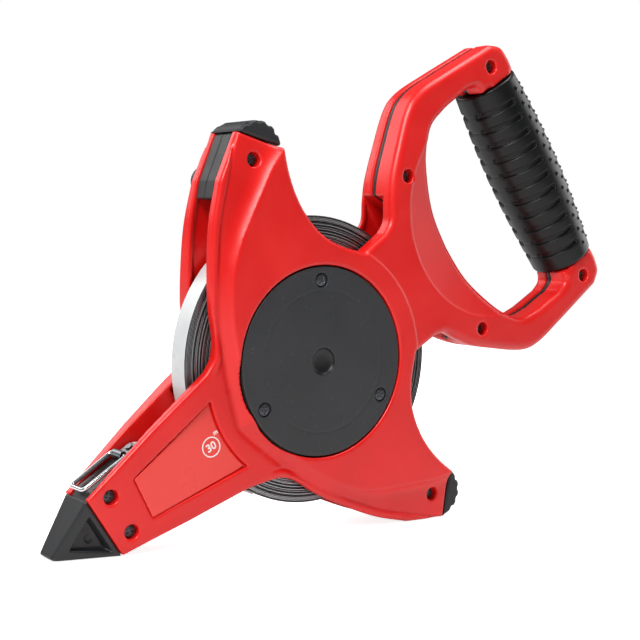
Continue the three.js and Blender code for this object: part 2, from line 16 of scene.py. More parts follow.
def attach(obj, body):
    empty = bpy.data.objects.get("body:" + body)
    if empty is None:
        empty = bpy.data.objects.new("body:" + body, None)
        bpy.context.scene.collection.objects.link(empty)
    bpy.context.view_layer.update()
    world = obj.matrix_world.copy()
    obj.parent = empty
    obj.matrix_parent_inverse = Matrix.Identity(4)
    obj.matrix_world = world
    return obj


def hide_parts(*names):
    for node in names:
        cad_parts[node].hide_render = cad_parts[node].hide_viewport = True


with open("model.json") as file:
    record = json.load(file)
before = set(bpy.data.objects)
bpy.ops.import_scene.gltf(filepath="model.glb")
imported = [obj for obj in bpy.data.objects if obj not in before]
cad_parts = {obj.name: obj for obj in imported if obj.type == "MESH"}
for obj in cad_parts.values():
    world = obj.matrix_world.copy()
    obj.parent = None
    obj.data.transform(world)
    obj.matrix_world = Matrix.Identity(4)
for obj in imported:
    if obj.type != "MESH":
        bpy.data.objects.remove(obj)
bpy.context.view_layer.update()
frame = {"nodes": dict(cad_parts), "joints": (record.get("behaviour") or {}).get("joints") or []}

# ---- driving sizes, millimetres ----------------------------------------------
JOINTS = {joint["name"]: joint for joint in frame["joints"]}
HUB = Vector(JOINTS["reel_spin"]["pos_m"])
KNOB = Vector(JOINTS["knob_spin"]["pos_m"]) - HUB
STAND_ANGLE = math.radians(34.4)
MM = 0.001
STEP = 0.8

HUB_FACE = 18.5
BAND_FACE = 14.0
BAND_BACK = 18.0
NOSE_FACE = 11.6
HANDLE_ROOT = 17.5
HANDLE_FACE = 15.0
HANDLE_BACK = 12.0
CORE_HALF = 1.5
GAP = 8.5
WALL = 3.0
FIT = 0.3
LABEL_FLOOR = 11.5
LABEL_TOP = LABEL_FLOOR + 0.9
MARK = (-71.5, 1.5)
RIM_INSET = 4.4
POST_RADIUS = 5.4
HOLE_RADIUS = 3.6
SHANK_RADIUS = 1.95

CAP_RADIUS = 47.0
BORE_RADIUS = 47.8
CAP_FACE = 18.0
CAP_THICK = 3.2
CAP_RING_DEPTH = 0.12
BOWL_RADIUS = 6.8
BOWL_DEPTH = 2.8
CAP_SCREW_RADIUS = 40.3
CAP_SCREW_ANGLES = (59.06, 179.06, 299.06)
ROOT_RADIUS = 59.2
SEAT_RADIUS = 52.9
COIL_RADIUS = 72.0
COIL_HALF = 6.75
TURNS = 77
ROOM_RADIUS = 93.0

GRIP_U = 177.5
GRIP_HALF = 56.7
GRIP_END_RADIUS = 17.2
GRIP_CROWN = 2.6
BAR_RADIUS = 9.5
SLOTS = 11
SLOT_PITCH = 9
SLOT_REACH = 88
DOT_RADIUS = 1.0
DOT_ROWS = np.arange(107, 256, 12.5)

CRANK_RADIUS = 92.0
CRANK_ANGLE = math.atan2(KNOB.z, KNOB.x) - STAND_ANGLE
KNOB_END = 61.0
CRANK_LOW = 20.0
CRANK_TOP = 26.0
WIRE = 1.05
RIVET_U = -101.6
TAPE_THICK = 0.5
FOOT_CENTRE = (26.6, 106.4)
NOSE_BACK = -135.3
SCOOP = (135.0, 2.0, 57.3)
RAIL_V = 23.5
RING_BAR_U = -107.5
RING_TIP_U = -132.5
CURL = (-101.0, 12.0, 9.0)
SCREWS = [(21.1, 103.3), (21.1, -103.3), (95.5, 48.1), (95.5, -48.1),
          (174.9, 67.1), (174.9, -67.1), (-125, 14.3), (-125.7, -5.8)]


# ---- outlines ----------------------------------------------------------------
def smooth(points, steps=6):
    """Centripetal Catmull-Rom run through the points."""
    p = [np.array(q, float) for q in points]
    p = [2 * p[0] - p[1]] + p + [2 * p[-1] - p[-2]]
    run = []
    for a, b, c, d in zip(p, p[1:], p[2:], p[3:]):
        spans = [math.sqrt(np.linalg.norm(y - x)) for x, y in ((a, b), (b, c), (c, d))]
        t = np.cumsum([0.0] + spans)
        for x in np.linspace(t[1], t[2], steps, endpoint=False):
            ab = (a * (t[1] - x) + b * (x - t[0])) / (t[1] - t[0])
            bc = (b * (t[2] - x) + c * (x - t[1])) / (t[2] - t[1])
            cd = (c * (t[3] - x) + d * (x - t[2])) / (t[3] - t[2])
            abc = (ab * (t[2] - x) + bc * (x - t[0])) / (t[2] - t[0])
            bcd = (bc * (t[3] - x) + cd * (x - t[1])) / (t[3] - t[1])
            run.append(tuple((abc * (t[2] - x) + bcd * (x - t[1])) / (t[2] - t[1])))
    return run + [tuple(points[-1])]


def arc(u, v, radius, start, end, steps):
    angles = np.radians(np.linspace(start, end, steps + 1))
    return [(u + radius * math.cos(a), v + radius * math.sin(a)) for a in angles]


def polar(radius, degrees, centre=(0, 0)):
    angle = math.radians(degrees)
    return centre[0] + radius * math.cos(angle), centre[1] + radius * math.sin(angle)


def mirrored(points):
    """The points on the other side of the u axis, in reverse order."""
    return [(u, -v) for u, v in reversed(points)]


def floor_line(u):
    """v of the ground under the reel at u."""
    hub_height = HUB.z / MM
    return (-hub_height - u * math.sin(STAND_ANGLE)) / math.cos(STAND_ANGLE)


HANDLE_SIDE = [(189, 57.3)] + smooth([(189.4, 64), (187.6, 72), (181, 77.2)]) + smooth(
    [(150, 79.6), (127, 80.6), (117, 78), (97, 62.5), (86, 52.5), (79, 43.5), (73, 34.8),
     (66.5, 31.8)])
INNER_SWEEP = smooth([(50.5, 31), (40.3, 41.8), (33.6, 53), (30.6, 67), (30.9, 78),
                      (33.2, 89), (37.2, 100)])
OUTER_SWEEP = smooth([(0, -floor_line(0)), (-14, 90), (-25.5, 74), (-36.5, 56),
                      (-42.4, 43.4), (-48, 36.2), (-55, 32.6)])
UPPER_SIDE = HANDLE_SIDE + INNER_SWEEP + [(20.8, -floor_line(20.8))] + OUTER_SWEEP
NOSE_END = [(-66, 31.2), (-92.8, 27.7), (-135, 20.4), (-135, floor_line(-135) + 0.2),
            (-100, -20.9), (-66, -28.4)]
OUTLINE = [(187.5, 57.3)] + UPPER_SIDE + NOSE_END + mirrored(UPPER_SIDE) + [(187.5, -57.3)]
OPENING_SIDE = smooth([(102.6, 0), (104, 20), (108.4, 35.6), (115.4, 51.4), (124, 60.6),
                       (137, 63.8)]) + smooth([(155, 64.6), (161.5, 62.5), (163.4, 57.3)])
OPENING = ([(168.5, -57.3), (168.5, 57.3)] + OPENING_SIDE[::-1]
           + mirrored(OPENING_SIDE)[::-1][1:])
PLATE_SWEEP = smooth([(37.2, 100), (26, 96), (15, 89.6), (3, 82.5), (-8.5, 75), (-20, 64.5),
                      (-30.5, 49), (-38.4, 30.6), (-44.8, 13), (-48.8, 0)])
PLATE = (INNER_SWEEP + PLATE_SWEEP[1:] + mirrored(PLATE_SWEEP)[1:]
         + mirrored(INNER_SWEEP)[1:] + arc(0, 0, ROOT_RADIUS, -31.5, 31.5, 20)[1:-1])
RIM_SIDE = [(24, 130)] + OUTER_SWEEP + [(-80, 15), (150, 15), (150, 130)]
LABEL = [(-112, 14.4), (-114.3, -7.2)] + arc(-5, 0, 59, 198.3, 159.8, 12)


# ---- distance fields ---------------------------------------------------------
def grid(low, high, step):
    """Three open axes that cover the box, and what the mesher needs to know."""
    steps = np.broadcast_to(np.array(step, float), 3)
    axes = [np.arange(a - 2 * s, b + 3 * s, s, dtype=np.float32)
            for a, b, s in zip(low, high, steps)]
    place = (np.array([axis[0] for axis in axes]), steps)
    u, v, h = np.meshgrid(*axes, indexing="ij", sparse=True)
    return u, v, h, place


def flat_distance(points, u, v):
    """Distance to a closed outline, negative inside."""
    nearest = np.full(np.broadcast_shapes(u.shape, v.shape), 1e9, np.float32)
    inside = np.zeros(nearest.shape, bool)
    for (u0, v0), (u1, v1) in zip(points, points[1:] + points[:1]):
        du, dv = u1 - u0, v1 - v0
        length = du * du + dv * dv
        if length < 1e-9:
            continue
        share = np.clip(((u - u0) * du + (v - v0) * dv) / length, 0, 1)
        nearest = np.minimum(nearest, (u - u0 - share * du) ** 2 + (v - v0 - share * dv) ** 2)
        if dv:
            inside ^= ((v0 > v) != (v1 > v)) & (u < u0 + du * (v - v0) / dv)
    return np.where(inside, -1, 1).astype(np.float32) * np.sqrt(nearest)


def both(a, b, radius=0.0):
    """What lies in a and in b, its edge rounded."""
    if np.ndim(radius) == 0 and radius == 0:
        return np.maximum(a, b)
    return (np.minimum(np.maximum(a + radius, b + radius), 0)
            + np.hypot(np.maximum(a + radius, 0), np.maximum(b + radius, 0)) - radius)


def cut(a, b, radius=0.0):
    """What lies in a and not in b, its edge rounded."""
    return both(a, -b, radius)


def join(a, b, radius=0.0):
    """What lies in a or in b, the corner between them filled."""
    return -both(-a, -b, radius)


def ring_distance(u, v, radius, centre=(0, 0)):
    return np.hypot(u - centre[0], v - centre[1]) - radius


def slab(h, low, high):
    return np.maximum(low - h, h - high)


def ramp(x, low, high):
    """Smooth step from 0 at low to 1 at high."""
    t = np.clip((x - low) / (high - low), 0, 1)
    return t * t * (3 - 2 * t)


EDGES = [(a, b) for a in np.ndindex(2, 2, 2) for b in np.ndindex(2, 2, 2)
         if a < b and sum(abs(np.subtract(a, b))) == 1]


def net_points(field, cells):
    """The middle of the field's crossings in each cell that it crosses."""
    total = np.zeros((len(cells), 3))
    count = np.zeros(len(cells))
    for a, b in EDGES:
        fa = field[tuple((cells + a).T)]
        fb = field[tuple((cells + b).T)]
        crossed = (fa < 0) != (fb < 0)
        share = np.where(crossed, fa / np.where(crossed, fa - fb, 1), 0)
        point = np.array(a) + share[:, None] * np.subtract(b, a)
        total += np.where(crossed[:, None], point, 0)
        count += crossed
    return cells + total / count[:, None]


def net_faces(field, number):
    """A square across every grid edge that the field crosses."""
    inside = field < 0
    faces = []
    for axis in range(3):
        p, q = (axis + 1) % 3, (axis + 2) % 3
        here = [slice(1, None)] * 3
        here[axis] = slice(None, -1)
        ahead = list(here)
        ahead[axis] = slice(1, None)
        low, high = inside[tuple(here)], inside[tuple(ahead)]
        at = np.argwhere(low != high)
        leaving = low[tuple(at.T)]
        at[:, p] += 1
        at[:, q] += 1
        corners = []
        for dp, dq in ((1, 1), (0, 1), (0, 0), (1, 0)):
            cell = at.copy()
            cell[:, p] -= dp
            cell[:, q] -= dq
            corners.append(number[tuple(cell.T)])
        square = np.stack(corners, 1)
        faces.append(np.where(leaving[:, None], square, square[:, ::-1]))
    return np.concatenate(faces)


def net(field, place):
    """Surface net of the field's zero level: points in millimetres and squares."""
    inside = field < 0
    shape = tuple(n - 1 for n in field.shape)
    seen = np.zeros(shape, np.int8)
    for a in np.ndindex(2, 2, 2):
        seen += inside[tuple(slice(i, i + n) for i, n in zip(a, shape))]
    cells = np.argwhere((seen > 0) & (seen < 8))
    number = np.full(shape, -1)
    number[tuple(cells.T)] = np.arange(len(cells))
    low, step = place
    return low + net_points(field, cells) * step, net_faces(field, number)


# ---- meshes ------------------------------------------------------------------
def to_world(points):
    """Shape axes (u, v, h) in millimetres to the row frame in metres."""
    u, v, h = np.asarray(points, float).T * MM
    c, s = math.cos(STAND_ANGLE), math.sin(STAND_ANGLE)
    return np.stack([u * c - v * s, -h, u * s + v * c], 1) + np.array(HUB)


def add_mesh(name, points, faces, node=None, body="frame", material=None, flip=False,
             flat=False):
    """A mesh from points in shape axes, riding on its body and standing for its node."""
    mesh = bpy.data.meshes.new(name)
    faces = [list(face)[::-1] for face in faces] if flip else np.asarray(faces).tolist()
    mesh.from_pydata(to_world(points).tolist(), [], faces)
    mesh.validate()
    if not flat:
        mesh.shade_smooth()
    return finish_piece(name, mesh, node, body, material)


def finish_piece(name, mesh, node, body, material):
    """Put the mesh on its body, let it stand for its node and give it its material."""
    piece = bpy.data.objects.new(name, mesh)
    bpy.context.scene.collection.objects.link(piece)
    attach(piece, body)
    if node:
        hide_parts(node)
    if material:
        mesh.materials.append(material[0])
    return piece


def add_field(name, field, place, mirror=False, **kw):
    """A piece from a distance field; a mirrored one lies on the rear side."""
    points, faces = net(field, place)
    if mirror:
        points = points * (1, 1, -1)
    return add_mesh(name, points, faces, flip=not mirror, **kw)


def add_turned(name, profile, centre=(0, 0), segments=160, **kw):
    """Turned piece about h through the centre; profile of (radius, h), closed."""
    profile = np.array(profile, float)
    count = len(profile)
    angles = np.linspace(0, 2 * math.pi, segments, endpoint=False)
    points = [(centre[0] + r * math.cos(a), centre[1] + r * math.sin(a), h)
              for a in angles for r, h in profile]
    faces = []
    for i in range(segments):
        near, far = i * count, (i + 1) % segments * count
        for j in range(count):
            k = (j + 1) % count
            faces.append((near + j, near + k, far + k, far + j))
    return add_mesh(name, points, faces, **kw)


def rounded(profile, radius=0.5, steps=4):
    """The profile with every corner rounded."""
    p = [np.array(q, float) for q in profile]
    made = []
    for before, here, after in zip(p[-1:] + p[:-1], p, p[1:] + p[:1]):
        a, b = before - here, after - here
        la, lb = np.linalg.norm(a), np.linalg.norm(b)
        reach = min(radius, 0.45 * la, 0.45 * lb)
        start, end = here + a / la * reach, here + b / lb * reach
        for t in np.linspace(0, 1, steps):
            made.append((1 - t) ** 2 * start + 2 * t * (1 - t) * here + t * t * end)
    return made


def add_tube(name, path, radius, sides=20, **kw):
    """Round wire along a closed path of (u, v, h) points."""
    path = np.array(path, float)
    count = len(path)
    points = []
    for i, here in enumerate(path):
        along = path[(i + 1) % count] - path[i - 1]
        along /= np.linalg.norm(along)
        side = np.cross(along, (0, 1, 0.001))
        side /= np.linalg.norm(side)
        up = np.cross(side, along)
        for a in np.linspace(0, 2 * math.pi, sides, endpoint=False):
            points.append(here + radius * (math.cos(a) * side + math.sin(a) * up))
    faces = []
    for i in range(count):
        for j in range(sides):
            k, n = (j + 1) % sides, (i + 1) % count
            faces.append((i * sides + j, i * sides + k, n * sides + k, n * sides + j))
    return add_mesh(name, points, faces, **kw)


# ---- materials ---------------------------------------------------------------
def srgb(code):
    """Linear colour of a six-digit display colour."""
    parts = [int(code[i:i + 2], 16) / 255 for i in (0, 2, 4)]
    return [c / 12.92 if c < 0.04045 else ((c + 0.055) / 1.055) ** 2.4 for c in parts] + [1]


class Look:
    """A Principled material and short ways to wire its nodes."""

    def __init__(self, name, roughness=0.5, metallic=0.0, **inputs):
        self.material = bpy.data.materials.new(name)
        self.material.use_nodes = True
        self.nodes = self.material.node_tree.nodes
        self.links = self.material.node_tree.links
        self.shader = self.nodes["Principled BSDF"]
        self.shader.inputs["Roughness"].default_value = roughness
        self.shader.inputs["Metallic"].default_value = metallic
        for key, value in inputs.items():
            self.shader.inputs[key.replace("_", " ")].default_value = value
        self.place = self.nodes.new("ShaderNodeTexCoord").outputs["Object"]

    def noise(self, scale, detail=4.0, roughness=0.5, stretch=None):
        node = self.nodes.new("ShaderNodeTexNoise")
        node.inputs["Scale"].default_value = scale
        node.inputs["Detail"].default_value = detail
        node.inputs["Roughness"].default_value = roughness
        place = self.place
        if stretch:
            mapping = self.nodes.new("ShaderNodeMapping")
            mapping.inputs["Scale"].default_value = stretch
            self.links.new(self.place, mapping.inputs["Vector"])
            place = mapping.outputs["Vector"]
        self.links.new(place, node.inputs["Vector"])
        return node.outputs["Fac"]

    def spread(self, value, low, high, to_low, to_high):
        node = self.nodes.new("ShaderNodeMapRange")
        for key, number in (("From Min", low), ("From Max", high), ("To Min", to_low),
                            ("To Max", to_high)):
            node.inputs[key].default_value = number
        self.links.new(value, node.inputs["Value"])
        return node.outputs["Result"]

    def mix(self, factor, a, b):
        node = self.nodes.new("ShaderNodeMix")
        node.data_type = "RGBA"
        self.links.new(factor, node.inputs["Factor"])
        for socket, value in ((node.inputs[6], a), (node.inputs[7], b)):
            if isinstance(value, list):
                socket.default_value = value
            else:
                self.links.new(value, socket)
        return node.outputs[2]

    def colour(self, value):
        self.links.new(value, self.shader.inputs["Base Color"])

    def rough(self, value):
        self.links.new(value, self.shader.inputs["Roughness"])

    def bump(self, value, strength, distance):
        node = self.nodes.new("ShaderNodeBump")
        node.inputs["Strength"].default_value = strength
        node.inputs["Distance"].default_value = distance
        self.links.new(value, node.inputs["Height"])
        normal = self.shader.inputs["Normal"]
        if normal.links:
            self.links.new(normal.links[0].from_socket, node.inputs["Normal"])
        self.links.new(node.outputs["Normal"], normal)


def moulded(name, deep, light, rough, grain, depth, dust=0.0, gloss=0.5):
    """Moulded plastic or rubber: spark-eroded grain, uneven sheen and faint wear."""
    look = Look(name, Specular_IOR_Level=gloss)
    clouds = look.noise(28, 3)
    base = look.mix(look.spread(clouds, 0.3, 0.7, 0, 1), srgb(deep), srgb(light))
    if dust:
        specks = look.spread(look.noise(900, 2), 0.68, 0.76, 0, dust)
        base = look.mix(specks, base, srgb("b9b4b0"))
    look.colour(base)
    sheen = look.spread(look.noise(55, 5), 0.3, 0.7, rough - 0.05, rough + 0.06)
    look.rough(sheen)
    look.bump(look.noise(grain, 3, 0.6), 0.35, depth)
    look.bump(look.noise(90, 2), 0.12, 0.00025)
    return look.material


RED = (moulded("red_abs", "d20f0c", "df1a16", 0.36, 2600, 0.00006, 0.02), "red_plastic")
BLACK = (moulded("black_abs", "141517", "1d1e20", 0.42, 2400, 0.00008, 0.03), "black_plastic")
DISC = (moulded("disc_abs", "242527", "2b2c2f", 0.5, 1900, 0.00018, 0.10), "cap_plastic")
# Near-black copy of the disc's plastic: painted shade for the bowl in the disc's middle.
DISC_BOWL_SHADE = moulded("disc_bowl_painted_shade", "0a0a0b", "101112", 0.42, 1900, 0.00004, 0.02)
KNOB_LOOK = (moulded("knob_abs", "1b1c1e", "232427", 0.45, 2400, 0.00008, 0.04),
             "knob_plastic")
GRIP = (moulded("grip_rubber", "0b0c0d", "111213", 0.33, 3000, 0.00005, 0.03,
                0.3), "grip_rubber")
FOOT = (moulded("foot_rubber", "161719", "202123", 0.5, 2500, 0.00007, 0.03), "foot_rubber")
PANEL = (moulded("label_film", "e2372f", "e8423a", 0.30, 1500, 0.00002, 0.01), "label_film")


def print_look():
    look = Look("white_print", 0.45)
    look.colour(look.mix(look.noise(400, 3), srgb("f2efec"), srgb("e6e2de")))
    look.bump(look.noise(1200), 0.2, 0.00003)
    return look.material


def tape_look():
    """Pale lacquer on the tape's faces."""
    look = Look("steel_tape", 0.34)
    look.colour(look.mix(look.spread(look.noise(60, 3), 0.3, 0.7, 0, 1),
                         srgb("bfc1c2"), srgb("cdcfcf")))
    look.rough(look.spread(look.noise(150, 4), 0.3, 0.7, 0.27, 0.42))
    look.bump(look.noise(900, 3), 0.15, 0.00003)
    return look.material


def edge_look(name, deep, light):
    """Bare slit steel, on the edges of the tape's turns; a dark and a light copy of it paint
    shade and highlights on them.
    """
    look = Look(name, 0.4, 0.65)
    look.colour(look.mix(look.spread(look.noise(30, 2), 0.3, 0.7, 0, 1),
                         srgb(deep), srgb(light)))
    look.rough(look.spread(look.noise(60, 3), 0.3, 0.7, 0.3, 0.42))
    look.bump(look.noise(1400, 3), 0.2, 0.00004)
    return look.material


def metal_look(name, deep, light, rough, brush, metallic=1.0):
    """Metal with fine lines in its sheen."""
    look = Look(name, rough, metallic)
    look.colour(look.mix(look.noise(80, 4), srgb(deep), srgb(light)))
    fine = look.noise(brush, 4, 0.6, (1, 6, 1))
    look.rough(look.spread(fine, 0.3, 0.7, rough - 0.04, rough + 0.07))
    look.bump(fine, 0.12, 0.00003)
    return look.material


PRINT = (print_look(), "label_film")
TAPE = (tape_look(), "tape_steel")
# Dark and light copies of the same edge steel: painted shade and painted highlight on the turns'
# edges.
TAPE_EDGE_SHADE = edge_look("tape_edge_painted_shade", "2a2c2f", "3a3c40")
TAPE_EDGE_HIGHLIGHT = edge_look("tape_edge_painted_highlight", "c2c5c7", "d6d8da")
CLIP = (metal_look("rolled_steel", "74777b", "95989c", 0.34, 500), "bright_steel")
CHROME = (metal_look("bright_plating", "c9cbce", "e4e5e7", 0.12, 300), "bright_steel")
SCREW = (metal_look("black_screw", "3a3b3f", "57585d", 0.24, 700, 0.6), "screw_steel")


# ---- frame halves ------------------------------------------------------------
def taper(start, end, run, past):
    """Height that falls evenly from start, and reaches end after the run."""
    return start - (start - end) / run * past


def band_height(u, v, plate, is_front):
    """Face of the arms: the rear half is thick at the hub and thins towards the tips."""
    past_hub = np.clip(-65 - u, 0, 80)
    if is_front:
        band = taper(BAND_FACE, NOSE_FACE, 70, past_hub)
    else:
        past_plate = np.clip(np.abs(v) - 58, 0, 50)
        band = np.minimum(taper(BAND_BACK, NOSE_FACE + 1.4, 70, past_hub),
                          taper(BAND_BACK, BAND_FACE, 42, past_plate))
    return band + raised_rim(u, v, plate)


def raised_rim(u, v, plate):
    """Raised outer edge of the arms, with a groove along its inner side."""
    inset = -flat_distance(RIM_SIDE, u, np.abs(v))
    where = ramp(plate, 4, 9) * ramp(u, -54, -44) * (u < 60)
    groove = 0.7 * np.exp(-((inset - RIM_INSET) / 0.7) ** 2)
    crest = 0.9 * ramp(RIM_INSET - inset, 0, 1.0)
    return where * (crest - groove)


def arm_height(u, v, plate, is_front):
    """Face of the hub plate, and of the arms that sweep up to its edge on the front."""
    band = band_height(u, v, plate, is_front)
    if is_front:
        fade = np.clip(1 - np.clip(plate, 0, None) / 10, 0, 1)
        dip = np.exp(-((plate - 5.5) / 2.2) ** 2) * ramp(-u, 26, 42)
        sweep = 0.93 * fade ** 2.8 - 0.25 * dip
        rise = (HUB_FACE - BAND_FACE) * np.where(plate < 0, 1, sweep)
    else:
        rise = (HUB_FACE - BAND_BACK) * (plate < 0)
    arms = np.where(u < (84 if is_front else 56), band + rise, 0)
    return np.where(plate < 0, HUB_FACE, arms)


def handle_height(u, v, is_front):
    """Face of the handle and its root, with a shallow round scoop by the opening."""
    root, face = (HANDLE_ROOT, HANDLE_FACE) if is_front else (HANDLE_BACK + 1, HANDLE_BACK)
    height = np.interp(u, [48, 66, 112, 220], [root, root, face, face])
    lip = np.where(u < 118, -ring_distance(u, v, SCOOP[2], SCOOP[:2]), 0)
    height = height - 0.2 * np.clip(lip, 0, 24) - 0.3 * ramp(lip, 0, 0.7)
    return np.where((u > 48) & (np.hypot(u, v) > ROOT_RADIUS - 3), height, 0)


def hollow(u, v, h, outer, opening, height):
    """Room inside the moulding, behind its wall and clear of the steps in its face."""
    radius = np.hypot(u, v)
    ceiling = h - (np.minimum(height, HANDLE_BACK + 1) - WALL)
    arms = np.maximum.reduce(np.broadcast_arrays(
        outer + WALL, ceiling, 51.5 - radius, -66 - u, u - 80))
    grip = slab(v, -60.5, 60.5)
    handle = np.maximum.reduce(np.broadcast_arrays(
        outer + WALL, WALL - opening, ceiling, ROOM_RADIUS + 3 - radius, 60 - u,
        -np.maximum(grip, 150 - u)))
    return np.minimum(arms, handle)


def blank(u, v, h, outer, opening, height, fullest):
    """Outside of a moulding, down to its seat on the core and to the gap for the coil."""
    plan = np.maximum(outer, -opening)
    radius = np.interp(u, [-135, -120, 30, 66, 90], [0.9, 1.8, 2.2, 3.2, fullest])
    body = both(plan, h - height, radius)
    room = ROOM_RADIUS - np.hypot(u, v)
    seat = np.maximum(CORE_HALF + FIT - h, np.minimum(GAP - h, room))
    wall = np.where(u > 48, seat, GAP - h)
    return both(body, wall, 0.5)


def add_posts(body, u, v, h, is_front):
    """Posts behind the faces, for the frame screws."""
    for screw in SCREWS:
        top = 11.0 if screw[0] < 60 else 12.6 if is_front else 9.5
        post = np.maximum(ring_distance(u, v, POST_RADIUS, screw), slab(h, FIT, top))
        body = join(body, post, 0.4)
    return body


def cut_openings(body, u, v, h, opening):
    """The hand's opening, the bore that a disc turns in and the label's recess."""
    body = cut(body, np.maximum(opening, -h), 0.6)
    body = cut(body, ring_distance(u, v, BORE_RADIUS), 0.9)
    label = flat_distance(LABEL, u, v)
    return cut(body, np.maximum(label, LABEL_FLOOR - h), 0.5)


def add_half_bar(body, u, v, h):
    """Half of the round bar inside the grip."""
    bar = np.maximum(np.hypot(u - GRIP_U, h) - BAR_RADIUS, CORE_HALF + FIT - h)
    body = cut(body, np.maximum(slab(v, -57.3, 57.3), 150 - u))
    return join(body, np.maximum(bar, slab(v, -60, 60)))


def cut_screw_holes(body, u, v, h):
    """A wide hole down to each head and a narrow one for its shank."""
    for screw in SCREWS:
        seat = head_face(screw[0]) - 1.2
        body = cut(body, np.maximum(ring_distance(u, v, HOLE_RADIUS, screw), seat - h), 0.3)
        body = cut(body, np.maximum(ring_distance(u, v, SHANK_RADIUS, screw), h - 11))
    return body


def frame_half(is_front):
    u, v, h, place = grid((-135.2, -119, 0), (192, 119, 19), (STEP, STEP, 0.75 * STEP))
    outer = flat_distance(OUTLINE, u, v)
    opening = flat_distance(OPENING, u, v)
    plate = flat_distance(PLATE, u, v)
    height = np.maximum(arm_height(u, v, plate, is_front), handle_height(u, v, is_front))
    body = blank(u, v, h, outer, opening, height, 4.2 if is_front else 6.5)
    body = cut(body, hollow(u, v, h, outer, opening, height), 0.6)
    body = add_posts(body, u, v, h, is_front)
    body = cut_openings(body, u, v, h, opening)
    body = add_half_bar(body, u, v, h)
    if is_front:
        body = cut_screw_holes(body, u, v, h)
    return body, place


def head_face(u):
    """Screw heads sit about 3 mm under the face they go in from."""
    return 11.7 if u > 60 else 10.8 if u > 0 else 9.4


def build_frame():
    front, place = frame_half(True)
    add_field("front_shell", front, place, node="front_frame", material=RED)
    rear, place = frame_half(False)
    add_field("rear_shell", rear, place, mirror=True, node="rear_frame", material=RED)


def handle_core():
    """Flat plate that shows as a black line in the seam of the handle."""
    u, v, h, place = grid((62, -82, -2), (192, 82, 2), (0.8, 0.8, 0.5))
    outer = flat_distance(OUTLINE, u, v)
    opening = flat_distance(OPENING, u, v)
    body = both(np.maximum(outer + 0.7, -(opening - 0.7)), np.abs(h) - CORE_HALF, 0.4)
    body = np.maximum(body, ROOM_RADIUS + 0.4 - np.hypot(u, v))
    body = np.maximum(body, 62 - u)
    beside_bar = np.maximum(BAR_RADIUS - 0.2 - np.abs(u - GRIP_U), 140 - u)
    body = cut(body, np.maximum(slab(v, -57.9, 57.9), beside_bar))
    for su, sv in SCREWS[2:6]:
        body = cut(body, ring_distance(u, v, 5.9, (su, sv)))
    add_field("core_plate", body, place, node="handle_core", material=BLACK)


# ---- grip, feet and nose -----------------------------------------------------
def grip_radius(v):
    """The grip swells towards its middle."""
    return GRIP_END_RADIUS + GRIP_CROWN * np.cos(np.pi * v / 2 / 56)


def cut_grooves(body, du, v, h):
    """Finger grooves on the side of the hub, broken by a spine down their middle."""
    around = np.degrees(np.arctan2(h, -du))
    past_end = (np.abs(around) - SLOT_REACH) * math.pi / 180 * 18
    spine = 7 * ramp(14 - np.abs(around), 0, 4)
    floor = grip_radius(v) - 1.6 - np.hypot(du, h)
    for i in range(SLOTS):
        middle = -45 + i * SLOT_PITCH
        across = np.hypot(v - middle, np.maximum(past_end, 0))
        slot = np.maximum(across - 1.5, floor)
        body = cut(body, slot + spine * 0.2, 0.4)
    return body


def add_dots(body, du, v, h):
    """Staggered rows of dots on the palm's side."""
    for row, turn in enumerate(DOT_ROWS):
        angle = math.radians(turn)
        for i in range(12):
            middle = -49.5 + i * SLOT_PITCH + 4.5 * (row % 2)
            if abs(middle) > 50:
                continue
            at = grip_radius(middle) - 0.1
            dot = np.sqrt((du + at * math.cos(angle)) ** 2 + (v - middle) ** 2
                          + (h - at * math.sin(angle)) ** 2) - DOT_RADIUS
            body = join(body, dot, 0.15)
    return body


def grip_sleeve():
    step = 0.55
    u, v, h, place = grid((GRIP_U - 20, -57, -20), (GRIP_U + 20, 57, 20), step)
    du = u - GRIP_U
    reach = np.hypot(du, h)
    body = both(reach - grip_radius(v), np.abs(v) - GRIP_HALF, 1.2)
    body = cut_grooves(body, du, v, h)
    body = add_dots(body, du, v, h)
    body = cut(body, reach - BAR_RADIUS - 0.4)
    add_field("grip_rubber_sleeve", body, place, node="grip_sleeve", material=GRIP)


def foot_cover(u, v, h):
    """Round cap over the arm's tip, notched along both of its side edges."""
    cap = [(37.4, 100.9)] + arc(*FOOT_CENTRE, 13.2, -24, 106, 26) + [(20.9, 119.2)]
    cover = both(flat_distance(cap, u, v), np.abs(h) - BAND_FACE + 0.4, 1.6)
    for angle in (4, 30, 56, 82):
        at = polar(13.4, angle, FOOT_CENTRE)
        notch = np.maximum(ring_distance(u, v, 1.7, at), 10.8 - np.abs(h))
        cover = cut(cover, notch, 0.3)
    arm = [(37.5, 100), (20.8, 119.4), (-10, 99), (-10, 60), (37.5, 60)]
    return cut(cover, flat_distance(arm, u, v))


def foot_block(u, v, h):
    """Block between the two arms, with a seam down its middle."""
    block = [(33.6, 101.5), (24.2, 114.6), (21.4, 117.9), (20, 117.8), (1, 104.4),
             (-5, 98.2), (4, 90.6), (20, 92.5), (33, 92.5)]
    neck = [(35, 101), (29, 103), (18, 113), (24.2, 117.4), (34, 108)]
    thick = np.abs(h) - GAP + FIT
    side = flat_distance(block, u, v)
    body = both(side, thick, 1.0)
    body = join(body, np.maximum(flat_distance(neck, u, v), thick), 0.5)
    return cut(body, np.maximum(np.abs(h) - 0.25, -(side + 0.5)))


def foot(name, node, side):
    u, v, h, place = grid((-7, 88, -14), (41, 122, 14), 0.45)
    body = join(foot_cover(u, v, h), foot_block(u, v, h), 0.3)
    body = cut(body, ring_distance(u, v, 5.9, SCREWS[0]))
    points, faces = net(body, place)
    points = points * (1, side, 1)
    add_mesh(name, points, faces, node=node, material=FOOT, flip=side > 0)


